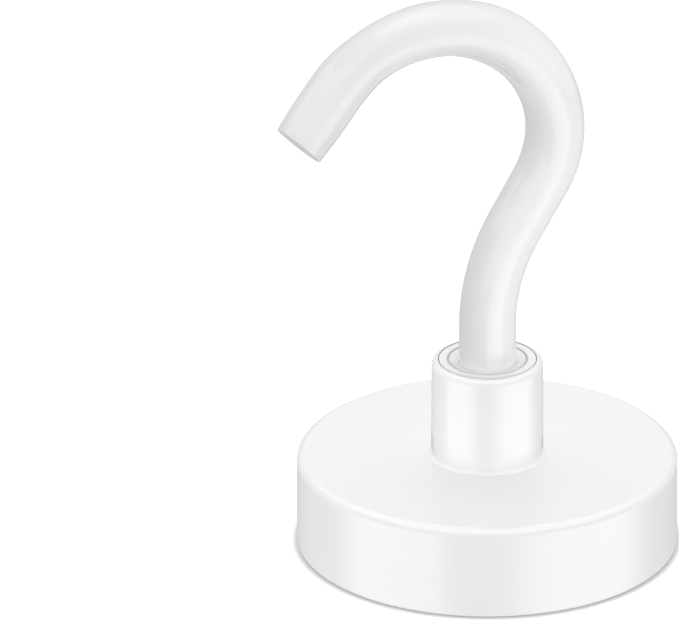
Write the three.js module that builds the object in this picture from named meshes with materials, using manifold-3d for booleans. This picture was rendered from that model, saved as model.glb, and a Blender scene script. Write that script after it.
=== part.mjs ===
// Magnetic hook: a pot magnet with a tapped collar and an open wire hook that screws into it.
// Millimetres, +Z up. The origin is the centre of the pot's mouth, in the plane of its pole ring.
// The hook lies in the XZ plane and its mouth opens towards -X.
import * as THREE from "three";
import { mergeVertices } from "three/addons/utils/BufferGeometryUtils.js";
import Module from "manifold-3d";

const wasm = await Module();
wasm.setup();

// Pot: a turned steel cup that carries the flux round the magnet
const potDiameter = 32;
const potHeight = 8;
const potWall = 3;
const potFloor = 3;
const potTopRound = 0.7;
const poleOuterRound = 0.3;
const poleInnerChamfer = 0.2;
const recessCornerRound = 0.4;

// Magnet: a plated disc, set back a little so that the pole ring takes the knocks
const magnetSetBack = 0.15;
const magnetChamfer = 0.3;

// Bond: resin that holds the magnet, as a bed behind it and a ring round it
const bondBed = 0.35;
const bondRing = 0.75;
const bondRingSetBack = 0.55;

// Collar: a turned bush, riveted through the pot's floor and tapped for the hook
const collarDiameter = 9.4;
const collarHeight = 8.6;
const collarTopRound = 0.55;
const collarFootFlare = 0.3;
const rivetDiameter = 6.4;
const rivetHeadDiameter = 8;
const rivetHeadDepth = 0.9;
const mouthDiameter = 6.8;

// Thread: M5, drawn plain at the hook's pitch diameter in a bore of the nominal one
const threadDiameter = 5;
const threadPitch = 0.8;
const drillPointAngle = THREE.MathUtils.degToRad(118);
const mouthAngle = THREE.MathUtils.degToRad(90);
const threadEngagedShare = 0.8;
const boreRunOut = 0.8;

// Hook: round wire, straight out of the collar, thrown to +X, then looped back over the shank
const wireDiameter = 4.8;
const shankRise = 3.15;
const throwRadius = 16.6;
const throwAngle = THREE.MathUtils.degToRad(31.7);
const throwRun = 4.2;
const shoulderRadius = 9.2;
const shoulderAngle = THREE.MathUtils.degToRad(46.8);
const loopRadius = 11.1;
const loopAngle = THREE.MathUtils.degToRad(127.6);
const tipRun = 5.4;
const tipCutLean = THREE.MathUtils.degToRad(8.4);
const tipCutSkew = THREE.MathUtils.degToRad(7.3);
const threadLeadChamfer = 0.6;

// Clearance between turned pieces that are fixed to each other, and how far a cut runs past its solid
const fitClearance = 0.05;
const overrun = 1;

// Facets
const turnedSides = 96;
const wireSides = 36;
const wireSteps = 64;
const roundSteps = 4;

// Sizes that follow
const potRadius = potDiameter / 2;
const recessRadius = potRadius - potWall;
const recessDepth = potHeight - potFloor;
const magnetRadius = recessRadius - bondRing;
const magnetBack = recessDepth - bondBed;
const collarRadius = collarDiameter / 2;
const collarTop = potHeight + collarHeight;
const rivetRadius = rivetDiameter / 2;
const rivetHeadRadius = rivetHeadDiameter / 2;
const mouthRadius = mouthDiameter / 2;
const boreRadius = threadDiameter / 2;
const mouthDepth = (mouthRadius - boreRadius) / Math.tan(mouthAngle / 2);
const mouthFloor = collarTop - mouthDepth;
// A metric thread's pitch diameter lies three eighths of a sharp thread's height in from each crest.
const pitchLineShare = (3 / 8) * Math.sin(Math.PI / 3);
const threadCoreRadius = boreRadius - pitchLineShare * threadPitch;
const threadEnd = collarTop - threadEngagedShare * collarHeight;
const boreEnd = threadEnd - boreRunOut;
const drillPointDepth = boreRadius / Math.tan(drillPointAngle / 2);
const wireRadius = wireDiameter / 2;

// Turns a list of corners [radius, height, round] into points, with each round as an arc.
function roundedProfile(corners, closed) {
  const points = [];
  corners.forEach(([x, y, round = 0], i) => {
    const corner = new THREE.Vector2(x, y);
    const atEnd = !closed && (i === 0 || i === corners.length - 1);
    if (atEnd || round === 0) {
      points.push(corner);
      return;
    }
    const before = corners.at(i - 1);
    const after = corners[(i + 1) % corners.length];
    const back = new THREE.Vector2(before[0], before[1]).sub(corner).normalize();
    const ahead = new THREE.Vector2(after[0], after[1]).sub(corner).normalize();
    const half = Math.acos(back.dot(ahead)) / 2;
    const setBack = round / Math.tan(half);
    const centre = back.clone().add(ahead).normalize();
    centre.multiplyScalar(round / Math.sin(half)).add(corner);
    const from = back.multiplyScalar(setBack).add(corner).sub(centre);
    const to = ahead.multiplyScalar(setBack).add(corner).sub(centre);
    const sweep = Math.atan2(from.cross(to), from.dot(to));
    for (let step = 0; step <= roundSteps; step++)
      points.push(from.clone().rotateAround(new THREE.Vector2(), (sweep * step) / roundSteps).add(centre));
  });
  if (closed) points.push(points[0].clone());
  return points;
}

// A solid of revolution about Z from corners that run anticlockwise in the (radius, height) plane.
function turned(corners, closed = false) {
  const geometry = new THREE.LatheGeometry(roundedProfile(corners, closed), turnedSides);
  return geometry.rotateX(Math.PI / 2);
}

function solidOf(geometry) {
  const bare = geometry.clone();
  bare.deleteAttribute("normal");
  bare.deleteAttribute("uv");
  const merged = mergeVertices(bare, 1e-5);
  return new wasm.Manifold(
    new wasm.Mesh({
      numProp: 3,
      vertProperties: new Float32Array(merged.attributes.position.array),
      triVerts: new Uint32Array(merged.index.array),
    }),
  );
}

function geometryOf(solid) {
  const mesh = solid.getMesh();
  const geometry = new THREE.BufferGeometry();
  geometry.setAttribute("position", new THREE.BufferAttribute(mesh.vertProperties, 3));
  geometry.setIndex(new THREE.BufferAttribute(mesh.triVerts, 1));
  const flat = geometry.toNonIndexed();
  flat.computeVertexNormals();
  return flat;
}

// Pot: open below for the magnet, with a countersunk hole in its floor for the collar's rivet
function potGeometry() {
  const holeRadius = rivetRadius + fitClearance;
  return turned(
    [
      [recessRadius + poleInnerChamfer, 0],
      [potRadius, 0, poleOuterRound],
      [potRadius, potHeight, potTopRound],
      [holeRadius, potHeight],
      [holeRadius, recessDepth + rivetHeadDepth],
      [rivetHeadRadius, recessDepth],
      [recessRadius, recessDepth, recessCornerRound],
      [recessRadius, poleInnerChamfer],
    ],
    true,
  );
}

// Collar: shoulder on the pot's top, rivet swaged over flush inside, tapped bore with a countersunk mouth
function collarGeometry() {
  return turned([
    [0, recessDepth],
    [rivetHeadRadius - fitClearance, recessDepth],
    [rivetRadius, recessDepth + rivetHeadDepth],
    [rivetRadius, potHeight],
    [collarRadius + collarFootFlare, potHeight],
    [collarRadius, potHeight + collarFootFlare],
    [collarRadius, collarTop, collarTopRound],
    [mouthRadius, collarTop],
    [boreRadius, mouthFloor],
    [boreRadius, boreEnd],
    [0, boreEnd - drillPointDepth],
  ]);
}

// Magnet: chamfered disc in the middle of the recess
function magnetGeometry() {
  return turned([
    [0, magnetSetBack],
    [magnetRadius - magnetChamfer, magnetSetBack],
    [magnetRadius, magnetSetBack + magnetChamfer],
    [magnetRadius, magnetBack - magnetChamfer],
    [magnetRadius - magnetChamfer, magnetBack],
    [0, magnetBack],
  ]);
}

// Bond: a dish of resin that fills what the magnet leaves of the recess, short of the pole face
function bondGeometry() {
  const outer = recessRadius - fitClearance;
  const inner = magnetRadius + fitClearance;
  return turned([
    [0, magnetBack],
    [inner - magnetChamfer, magnetBack],
    [inner, magnetBack - magnetChamfer],
    [inner, bondRingSetBack],
    [outer, bondRingSetBack],
    [outer, recessDepth, recessCornerRound],
    [0, recessDepth],
  ]);
}

// A pen that draws straights and tangent arcs in the hook's plane and keeps its heading
class WirePen {
  constructor(height) {
    this.outline = new THREE.CurvePath();
    this.at = new THREE.Vector2(0, height);
    this.heading = Math.PI / 2;
  }

  ahead(angle = this.heading) {
    return new THREE.Vector2(Math.cos(angle), Math.sin(angle));
  }

  straight(length) {
    const to = this.ahead().multiplyScalar(length).add(this.at);
    this.outline.add(new THREE.LineCurve(this.at, to));
    this.at = to;
    return this;
  }

  // Positive angles bend to the left of the heading, and negative ones to the right.
  bend(radius, angle) {
    const side = Math.sign(angle);
    const toCentre = this.ahead(this.heading + (side * Math.PI) / 2).multiplyScalar(radius);
    const centre = toCentre.clone().add(this.at);
    const start = toCentre.negate().angle();
    const arc = new THREE.EllipseCurve(centre.x, centre.y, radius, radius, start, start + angle, side < 0);
    this.outline.add(arc);
    this.heading += angle;
    this.at = arc.getPoint(1);
    return this;
  }
}

// The wire's centreline as a curve in space, in the plane y = 0
class HookLine extends THREE.Curve {
  constructor(outline) {
    super();
    this.outline = outline;
  }

  getPoint(t, target = new THREE.Vector3()) {
    const flat = this.outline.getPointAt(t);
    return target.set(flat.x, 0, flat.y);
  }
}

// A block past the tip, whose near face is the shears' cut: square to the wire but for its lean and skew
function cutBlock(at, heading) {
  const side = overrun * 2 + wireDiameter * 2;
  const block = new THREE.BoxGeometry(side, side, side).translate(0, 0, side / 2);
  const lean = heading - tipCutLean;
  const out = new THREE.Vector3(Math.cos(lean), -Math.tan(tipCutSkew), Math.sin(lean)).normalize();
  const turn = new THREE.Quaternion().setFromUnitVectors(new THREE.Vector3(0, 0, 1), out);
  return block.applyQuaternion(turn).translate(at.x, 0, at.y);
}

// Hook: bent wire with a turned-down threaded end below the collar's mouth and a sheared tip
function hookGeometry() {
  const pen = new WirePen(mouthFloor)
    .straight(mouthDepth + shankRise)
    .bend(throwRadius, -throwAngle)
    .straight(throwRun)
    .bend(shoulderRadius, shoulderAngle)
    .bend(loopRadius, loopAngle)
    .straight(tipRun);
  const tip = pen.at.clone();
  pen.straight(wireRadius);

  const section = new THREE.Shape();
  section.absellipse(0, 0, wireRadius, wireRadius, 0, Math.PI * 2);
  const wire = new THREE.ExtrudeGeometry(section, {
    steps: wireSteps,
    curveSegments: wireSides / 2,
    bevelEnabled: false,
    extrudePath: new HookLine(pen.outline),
  });

  const neck = (wireRadius - threadCoreRadius) / 2;
  const thread = turned([
    [0, threadEnd],
    [threadCoreRadius - threadLeadChamfer, threadEnd],
    [threadCoreRadius, threadEnd + threadLeadChamfer],
    [threadCoreRadius, mouthFloor - neck],
    [wireRadius - neck, mouthFloor + neck],
    [0, mouthFloor + neck],
  ]);
  return geometryOf(solidOf(wire).add(solidOf(thread)).subtract(solidOf(cutBlock(tip, pen.heading))));
}

const whitePaint = { color: 0xf3f3f4, roughness: 0.28, metalness: 0 };
const pieces = [
  ["pot_cup", potGeometry, whitePaint],
  ["collar", collarGeometry, whitePaint],
  ["magnet_disc", magnetGeometry, { color: 0xc6c7c9, roughness: 0.42, metalness: 1 }],
  ["epoxy_bond", bondGeometry, { color: 0x17181a, roughness: 0.35, metalness: 0 }],
  ["hook", hookGeometry, whitePaint],
];

const magneticHook = new THREE.Group();
for (const [name, geometry, finish] of pieces) {
  const mesh = new THREE.Mesh(geometry(), new THREE.MeshStandardMaterial(finish));
  mesh.name = name;
  magneticHook.add(mesh);
}

export default magneticHook;
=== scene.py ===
"""The looks of a white magnetic hook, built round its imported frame.

A pot magnet carries a tapped collar, and an open wire hook screws into it. Each sub-assembly is a class
that reads its main sizes from the frame, builds its meshes and dresses them. Outlines are written in
millimetres and turned into metres when a mesh is made.
"""
import logging
import math
from collections.abc import Iterable
from dataclasses import dataclass, field
from enum import Enum, IntEnum

import bmesh
import bpy
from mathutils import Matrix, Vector


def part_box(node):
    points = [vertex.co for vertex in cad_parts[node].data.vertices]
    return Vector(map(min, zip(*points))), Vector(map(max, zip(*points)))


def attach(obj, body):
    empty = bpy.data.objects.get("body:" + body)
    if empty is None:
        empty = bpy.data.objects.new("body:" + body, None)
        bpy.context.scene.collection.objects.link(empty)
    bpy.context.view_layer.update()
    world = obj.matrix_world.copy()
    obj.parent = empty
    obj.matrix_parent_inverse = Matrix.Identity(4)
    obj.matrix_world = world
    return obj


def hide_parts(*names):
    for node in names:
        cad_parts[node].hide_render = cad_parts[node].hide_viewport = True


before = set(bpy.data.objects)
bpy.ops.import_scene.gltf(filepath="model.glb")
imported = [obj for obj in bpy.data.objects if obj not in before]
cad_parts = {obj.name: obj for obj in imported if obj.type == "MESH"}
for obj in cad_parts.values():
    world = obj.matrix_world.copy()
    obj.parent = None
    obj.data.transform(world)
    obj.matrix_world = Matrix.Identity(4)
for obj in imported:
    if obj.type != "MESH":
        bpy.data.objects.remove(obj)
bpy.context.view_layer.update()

LOG = logging.getLogger("magnetic_hook")
MM = 0.001
ON_AXIS = 1e-9
NOISE_RANGE = (0.3, 0.7)


class Slot(str, Enum):
    """The record's material slots."""

    PAINT = "white_paint"
    NICKEL = "satin_nickel"
    RESIN = "black_resin"


class Coat(IntEnum):
    """What covers a band of a turned piece: its number is the band's place in the piece's material list."""

    MAIN = 0
    # On the pot this coat is bright steel. On the collar it is the worn mouth band, whose grey is partly
    # painted shade.
    BARE = 1


class TreeBuilder:
    """Adds and links nodes in a shader or geometry tree, with short calls."""

    def __init__(self, tree: bpy.types.NodeTree) -> None:
        """Keeps the tree, an empty shader or geometry one, that the nodes go into."""
        self.tree = tree

    def add(self, kind: str, **settings: object) -> bpy.types.Node:
        """Adds one node.

        Args:
            kind: The node's type name.
            settings: Attributes to set on it, such as its operation.

        Returns:
            The new node.
        """
        node = self.tree.nodes.new(kind)
        for name, value in settings.items():
            setattr(node, name, value)
        return node

    def feed(self, socket: bpy.types.NodeSocket, source: object) -> None:
        """Links a socket to another one, or sets its value.

        Args:
            socket: The input to feed.
            source: An output socket, or a plain value.
        """
        if isinstance(source, bpy.types.NodeSocket):
            self.tree.links.new(source, socket)
        else:
            socket.default_value = source

    def math(self, operation: str, *values: object) -> bpy.types.NodeSocket:
        """Adds a Math node.

        Args:
            operation: Its operation.
            values: Its inputs, as sockets or numbers.

        Returns:
            Its output.
        """
        node = self.add("ShaderNodeMath", operation=operation)
        for socket, value in zip(node.inputs, values):
            self.feed(socket, value)
        return node.outputs[0]

    def vector_math(self, operation: str, *values: object) -> bpy.types.Node:
        """Adds a Vector Math node.

        Args:
            operation: Its operation.
            values: Its vector inputs, as sockets or triples.

        Returns:
            The node, because some operations give a vector and others a number.
        """
        node = self.add("ShaderNodeVectorMath", operation=operation)
        for socket, value in zip(node.inputs, values):
            self.feed(socket, value)
        return node

    def parts(self, vector: bpy.types.NodeSocket) -> bpy.types.bpy_prop_collection:
        """Splits a vector into its X, Y and Z.

        Args:
            vector: The vector.

        Returns:
            The three numbers.
        """
        node = self.add("ShaderNodeSeparateXYZ")
        self.feed(node.inputs[0], vector)
        return node.outputs

    def mix(self, share: object, no: object, yes: object) -> bpy.types.NodeSocket:
        """Mixes two numbers or two shaders.

        Args:
            share: The share of the second one.
            no: The first one.
            yes: The second one.

        Returns:
            The mixed number or shader.
        """
        if getattr(yes, "type", "") == "SHADER":
            node = self.add("ShaderNodeMixShader")
            ends = node.inputs[1:]
        else:
            node = self.add("ShaderNodeMix", data_type="FLOAT")
            ends = node.inputs[2:4]
        for socket, value in zip((node.inputs[0], *ends), (share, no, yes)):
            self.feed(socket, value)
        return node.outputs[0]

    def greys(self, source: bpy.types.NodeSocket,
              levels: Iterable[tuple[float, float]]) -> bpy.types.NodeSocket:
        """Reads a grey off a colour ramp.

        Args:
            source: The place on the ramp.
            levels: The place and the grey of each stop.

        Returns:
            The grey.
        """
        node = self.add("ShaderNodeValToRGB")
        self.feed(node.inputs[0], source)
        stops = node.color_ramp.elements
        stops.remove(stops[-1])
        for i, (place, level) in enumerate(levels):
            stop = stops[0] if i == 0 else stops.new(place)
            stop.position = place
            stop.color = (level, level, level, 1.0)
        return node.outputs["Color"]

    def attribute(self, name: str) -> bpy.types.NodeSocket:
        """Reads a named number of the mesh's points.

        Args:
            name: The attribute's name.

        Returns:
            Its value.
        """
        node = self.add("GeometryNodeInputNamedAttribute", data_type="FLOAT")
        node.inputs["Name"].default_value = name
        return node.outputs["Attribute"]

    def shift(self, geometry: bpy.types.NodeSocket, way: object,
              distance: bpy.types.NodeSocket) -> bpy.types.NodeSocket:
        """Moves the points of a geometry.

        Args:
            geometry: The geometry.
            way: The direction, as a socket or a triple.
            distance: How far each point goes.

        Returns:
            The moved geometry.
        """
        offset = self.add("ShaderNodeVectorMath", operation="SCALE")
        self.feed(offset.inputs[0], way)
        self.feed(offset.inputs["Scale"], distance)
        move = self.add("GeometryNodeSetPosition")
        self.feed(move.inputs["Geometry"], geometry)
        self.feed(move.inputs["Offset"], offset.outputs["Vector"])
        return move.outputs["Geometry"]

    def finish(self, geometry: bpy.types.NodeSocket, finish: bpy.types.NodeSocket,
               where: bpy.types.NodeSocket | None = None) -> None:
        """Ends a geometry tree: realizes what it made and gives it its material.

        Args:
            geometry: The geometry.
            finish: The material.
            where: Which faces get it, if not all of them.
        """
        real = self.add("GeometryNodeRealizeInstances")
        self.feed(real.inputs["Geometry"], geometry)
        dress = self.add("GeometryNodeSetMaterial")
        self.feed(dress.inputs["Geometry"], real.outputs["Geometry"])
        self.feed(dress.inputs["Material"], finish)
        if where:
            self.feed(dress.inputs["Selection"], where)
        out = self.add("NodeGroupOutput")
        self.feed(out.inputs[0], dress.outputs["Geometry"])

    def ramp(self, source: bpy.types.NodeSocket, low: float, high: float, bottom: float, top: float,
             smooth: bool = False) -> bpy.types.NodeSocket:
        """Maps a value from one range to another, and holds it at the ends.

        Args:
            source: The value.
            low: Where the range starts.
            high: Where it ends.
            bottom: What low becomes.
            top: What high becomes.
            smooth: Whether the change eases in and out.

        Returns:
            The mapped value.
        """
        kind = "SMOOTHSTEP" if smooth else "LINEAR"
        node = self.add("ShaderNodeMapRange", interpolation_type=kind, clamp=True)
        self.feed(node.inputs["Value"], source)
        for name, value in (("From Min", low), ("From Max", high), ("To Min", bottom), ("To Max", top)):
            self.feed(node.inputs[name], value)
        return node.outputs["Result"]


@dataclass(frozen=True)
class Grain:
    """A noise that roughens a surface.

    Attributes:
        size: The width of one grain, in metres.
        height: How far it stands up, in metres.
        detail: How many finer layers it has.
    """

    size: float
    height: float
    detail: float = 2.0


@dataclass(frozen=True)
class Finish:
    """A surface finish with fine relief and a slight change of gloss from place to place.

    Attributes:
        name: The material's name.
        colour: Its linear colour.
        metallic: 1 for a bare metal.
        roughness: The lowest and highest roughness.
        mottle: How much the colour varies, as a share.
        mottle_size: The width of a patch of that change, in metres.
        mottle_detail: How many finer layers that change has.
        grains: The layers of relief.
    """

    name: str
    colour: tuple[float, float, float]
    metallic: float = 0.0
    roughness: tuple[float, float] = (0.3, 0.34)
    mottle: float = 0.0
    mottle_size: float = 4 * MM
    mottle_detail: float = 3.0
    grains: tuple[Grain, ...] = ()

    def material(self) -> bpy.types.Material:
        """Builds the material, or finds it if it was built before.

        Returns:
            The material.
        """
        found = bpy.data.materials.get(self.name)
        if found:
            return found
        made = bpy.data.materials.new(self.name)
        made.use_nodes = True
        shader = made.node_tree.nodes["Principled BSDF"]
        build = TreeBuilder(made.node_tree)
        place = build.add("ShaderNodeTexCoord").outputs["Object"]
        patch = self.noise(build, place, self.mottle_size, self.mottle_detail)
        shader.inputs["Metallic"].default_value = self.metallic
        low, high = self.roughness
        build.feed(shader.inputs["Roughness"], build.ramp(patch, *NOISE_RANGE, low, high))
        build.feed(shader.inputs["Base Color"], self.tint(build, patch))
        build.feed(shader.inputs["Normal"], self.relief(build, place))
        return made

    def noise(self, build: TreeBuilder, place: bpy.types.NodeSocket, size: float,
              detail: float) -> bpy.types.NodeSocket:
        """Adds a noise of one grain size.

        Args:
            build: The tree's builder.
            place: The coordinates to read.
            size: The grain's width, in metres.
            detail: Its finer layers.

        Returns:
            The noise's value.
        """
        node = build.add("ShaderNodeTexNoise")
        node.inputs["Scale"].default_value = 1 / size
        node.inputs["Detail"].default_value = detail
        build.feed(node.inputs["Vector"], place)
        return node.outputs["Fac"]

    def tint(self, build: TreeBuilder, patch: bpy.types.NodeSocket) -> bpy.types.NodeSocket:
        """Varies the colour from patch to patch.

        Args:
            build: The tree's builder.
            patch: The noise that drives it.

        Returns:
            The colour.
        """
        mix = build.add("ShaderNodeMix", data_type="RGBA")
        build.feed(mix.inputs["Factor"], build.ramp(patch, *NOISE_RANGE, 0.0, 1.0))
        darker = [channel * (1 - self.mottle) for channel in self.colour]
        mix.inputs[6].default_value = (*darker, 1.0)
        mix.inputs[7].default_value = (*self.colour, 1.0)
        return mix.outputs[2]

    def relief(self, build: TreeBuilder, place: bpy.types.NodeSocket) -> object:
        """Stacks the layers of relief.

        Args:
            build: The tree's builder.
            place: The coordinates to read.

        Returns:
            The bent normal, or the flat default where there is no relief.
        """
        normal: object = (0.0, 0.0, 0.0)
        for grain in self.grains:
            bump = build.add("ShaderNodeBump")
            bump.inputs["Strength"].default_value = 1.0
            bump.inputs["Distance"].default_value = grain.height
            build.feed(bump.inputs["Height"], self.noise(build, place, grain.size, grain.detail))
            if isinstance(normal, bpy.types.NodeSocket):
                build.feed(bump.inputs["Normal"], normal)
            normal = bump.outputs["Normal"]
        return normal


WHITE_PAINT = Finish(
    name="white_powder_coat",
    colour=(0.885, 0.885, 0.885),
    roughness=(0.13, 0.17),
    mottle=0.006,
    grains=(Grain(size=1.1 * MM, height=0.004 * MM), Grain(size=0.12 * MM, height=0.0006 * MM)),
)
# Worn paint at the collar's mouth. Its grey is darker than the wear alone, as painted shade of the mouth's
# edge.
WORN_AND_SHADED_EDGE = Finish(
    name="worn_paint_and_painted_shade_at_the_mouth",
    colour=(0.5, 0.5, 0.51),
    roughness=(0.34, 0.5),
    mottle=0.12,
    mottle_size=0.5 * MM,
    grains=(Grain(size=0.2 * MM, height=0.003 * MM),),
)
BRIGHT_STEEL = Finish(
    name="bright_plated_steel",
    colour=(0.68, 0.68, 0.69),
    metallic=1.0,
    roughness=(0.12, 0.2),
    mottle=0.05,
    mottle_size=1.5 * MM,
    grains=(Grain(size=0.15 * MM, height=0.0006 * MM),),
)
SATIN_NICKEL = Finish(
    name="satin_nickel_plate",
    colour=(0.6, 0.6, 0.605),
    metallic=1.0,
    roughness=(0.36, 0.44),
    mottle=0.06,
    mottle_size=5 * MM,
    grains=(Grain(size=0.07 * MM, height=0.0022 * MM, detail=3.0), Grain(size=0.9 * MM, height=0.001 * MM)),
)
BLACK_RESIN = Finish(
    name="black_cured_resin",
    colour=(0.012, 0.012, 0.013),
    roughness=(0.22, 0.42),
    mottle=0.4,
    mottle_size=1.2 * MM,
    grains=(Grain(size=0.7 * MM, height=0.02 * MM), Grain(size=0.1 * MM, height=0.002 * MM)),
)


@dataclass(frozen=True)
class Corner:
    """A corner of a turned outline, in millimetres.

    Attributes:
        r: Its distance from the axis.
        z: Its height.
        round: The radius of its round.
        coat: What covers the band that starts here.
        threaded: Whether the band that starts here carries the screw thread.
    """

    r: float
    z: float
    round: float = 0.0
    coat: Coat = Coat.MAIN
    threaded: bool = False


@dataclass(frozen=True)
class Ring:
    """A ring of a turned mesh: its radius and height, what covers the band after it and its thread weight."""

    r: float
    z: float
    coat: Coat
    thread: float = 0.0


@dataclass
class Turning:
    """A solid of revolution about Z, from an outline whose corners run anticlockwise in the (r, z) plane.

    Attributes:
        name: The piece's name.
        corners: The outline. It closes on itself, or else starts and ends on the axis.
        closed: Whether it closes on itself.
        sides: The number of steps round the axis.
        round_steps: The number of steps in each round.
        holding: How far past a round its holding ring lies, which keeps the shading of the flat beside it.
        thread_step: The height of a step along a threaded band.
        thread_fade: The length over which a thread runs in and out.
    """

    name: str
    corners: list[Corner]
    closed: bool = False
    sides: int = 224
    round_steps: int = 10
    holding: float = 0.05
    thread_step: float = 0.05
    thread_fade: float = 0.7

    def rings(self) -> list[Ring]:
        """Works out the rings of the mesh.

        Returns:
            The rings in the outline's order.
        """
        made: list[Ring] = []
        count = len(self.corners)
        for i, corner in enumerate(self.corners):
            at_end = not self.closed and i in (0, count - 1)
            if at_end or not corner.round:
                made.append(Ring(corner.r, corner.z, corner.coat))
            else:
                before, after = self.corners[i - 1], self.corners[(i + 1) % count]
                made.extend(self.rounded(before, corner, after))
            if corner.threaded:
                made.extend(self.threaded(corner, self.corners[(i + 1) % count]))
        return made

    def rounded(self, before: Corner, corner: Corner, after: Corner) -> list[Ring]:
        """Works out one round as an arc between two holding rings.

        Args:
            before: The corner before it.
            corner: The rounded corner.
            after: The corner after it.

        Returns:
            The arc's rings.
        """
        at = Vector((corner.r, corner.z))
        back = (Vector((before.r, before.z)) - at).normalized()
        ahead = (Vector((after.r, after.z)) - at).normalized()
        half = back.angle(ahead) / 2
        set_back = corner.round / math.tan(half)
        centre = at + (back + ahead).normalized() * (corner.round / math.sin(half))
        start = at + back * set_back - centre
        end = at + ahead * set_back - centre
        sweep = math.atan2(start.x * end.y - start.y * end.x, start.dot(end))
        hold_in = at + back * (set_back + self.holding)
        hold_out = at + ahead * (set_back + self.holding)
        made = [Ring(hold_in.x, hold_in.y, before.coat)]
        for step in range(self.round_steps + 1):
            turn = sweep * step / self.round_steps
            x = start.x * math.cos(turn) - start.y * math.sin(turn)
            y = start.x * math.sin(turn) + start.y * math.cos(turn)
            made.append(Ring(centre.x + x, centre.y + y, corner.coat))
        made.append(Ring(hold_out.x, hold_out.y, corner.coat))
        return made

    def threaded(self, corner: Corner, after: Corner) -> list[Ring]:
        """Works out the close rings of a band that carries the thread.

        Args:
            corner: Where the band starts.
            after: Where it ends.

        Returns:
            The rings between the two.
        """
        length = math.hypot(after.r - corner.r, after.z - corner.z)
        count = max(2, round(length / self.thread_step))
        made = []
        for step in range(1, count):
            share = step / count
            r = corner.r + (after.r - corner.r) * share
            z = corner.z + (after.z - corner.z) * share
            weight = min(1.0, share * length / self.thread_fade, (1 - share) * length / self.thread_fade)
            made.append(Ring(r, z, Coat.MAIN, weight))
        return made

    def piece(self, coats: list[Finish]) -> bpy.types.Object:
        """Builds the piece.

        Args:
            coats: The finishes of the piece's coats, in the order of their numbers.

        Returns:
            The new object, at the origin.
        """
        mesh = bpy.data.meshes.new(self.name)
        shape = bmesh.new()
        weights = shape.verts.layers.float.new("threaded")
        circles: list[list[bmesh.types.BMVert]] = []
        rings = self.rings()
        for ring in rings:
            steps = 1 if ring.r < ON_AXIS else self.sides
            circle = []
            for step in range(steps):
                turn = 2 * math.pi * step / self.sides
                spot = Vector((ring.r * math.cos(turn), ring.r * math.sin(turn), ring.z)) * MM
                vertex = shape.verts.new(spot)
                vertex[weights] = ring.thread
                circle.append(vertex)
            circles.append(circle)
        last = len(circles) if self.closed else len(circles) - 1
        for i in range(last):
            self.skin(shape, circles[i], circles[(i + 1) % len(circles)], rings[i].coat)
        bmesh.ops.recalc_face_normals(shape, faces=shape.faces)
        shape.to_mesh(mesh)
        shape.free()
        piece = add_object(self.name, mesh)
        for finish in coats:
            mesh.materials.append(finish.material())
        return piece

    def skin(self, shape: bmesh.types.BMesh, low: list, high: list, coat: Coat) -> None:
        """Joins two rings of vertices with faces.

        Args:
            shape: The mesh that they belong to.
            low: The first ring, which may be one vertex on the axis.
            high: The second ring, likewise.
            coat: What covers the band.
        """
        for step in range(self.sides):
            after = (step + 1) % self.sides
            below = [low[step % len(low)], low[after % len(low)]]
            above = [high[after % len(high)], high[step % len(high)]]
            face = shape.faces.new(list(dict.fromkeys(below + above)))
            face.material_index = int(coat)


def add_object(name: str, data: bpy.types.ID) -> bpy.types.Object:
    """Makes an object at the origin and links it to the scene.

    Args:
        name: Its name.
        data: Its mesh or camera.

    Returns:
        The object.
    """
    made = bpy.data.objects.new(name, data)
    bpy.context.scene.collection.objects.link(made)
    return made


def smooth(piece: bpy.types.Object, sharp_angle: float = math.radians(32)) -> None:
    """Shades a piece smooth, but for its sharp edges and its many-sided end caps.

    Args:
        piece: The piece.
        sharp_angle: The angle between faces past which an edge is sharp.
    """
    mesh = piece.data
    mesh.shade_smooth()
    for face in mesh.polygons:
        if len(face.vertices) > 4:
            face.use_smooth = False
    mesh.set_sharp_from_angle(angle=sharp_angle)


def apply_tree(piece: bpy.types.Object, tree: bpy.types.NodeTree, values: dict[str, object]) -> None:
    """Runs a piece through a geometry tree and keeps the result as its plain mesh.

    Args:
        piece: The piece, whose mesh the tree reads.
        tree: The geometry tree.
        values: The tree's inputs by name.
    """
    modifier = piece.modifiers.new(tree.name, "NODES")
    modifier.node_group = tree
    for item in tree.interface.items_tree:
        if item.item_type == "SOCKET" and item.in_out == "INPUT" and item.name in values:
            modifier[item.identifier] = values[item.name]
    piece.update_tag()
    bpy.context.view_layer.update()
    graph = bpy.context.evaluated_depsgraph_get()
    made = bpy.data.meshes.new_from_object(piece.evaluated_get(graph))
    piece.modifiers.remove(modifier)
    made.name = piece.name
    piece.data = made


def new_tree(name: str, inputs: dict[str, str]) -> TreeBuilder:
    """Starts a geometry tree with named inputs and one geometry output.

    Args:
        name: The tree's name.
        inputs: The socket type of each input after the geometry, by name.

    Returns:
        A builder for the tree.
    """
    tree = bpy.data.node_groups.new(name, "GeometryNodeTree")
    tree.interface.new_socket("Geometry", in_out="INPUT", socket_type="NodeSocketGeometry")
    for title, kind in inputs.items():
        tree.interface.new_socket(title, in_out="INPUT", socket_type=kind)
    tree.interface.new_socket("Geometry", in_out="OUTPUT", socket_type="NodeSocketGeometry")
    return TreeBuilder(tree)


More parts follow.
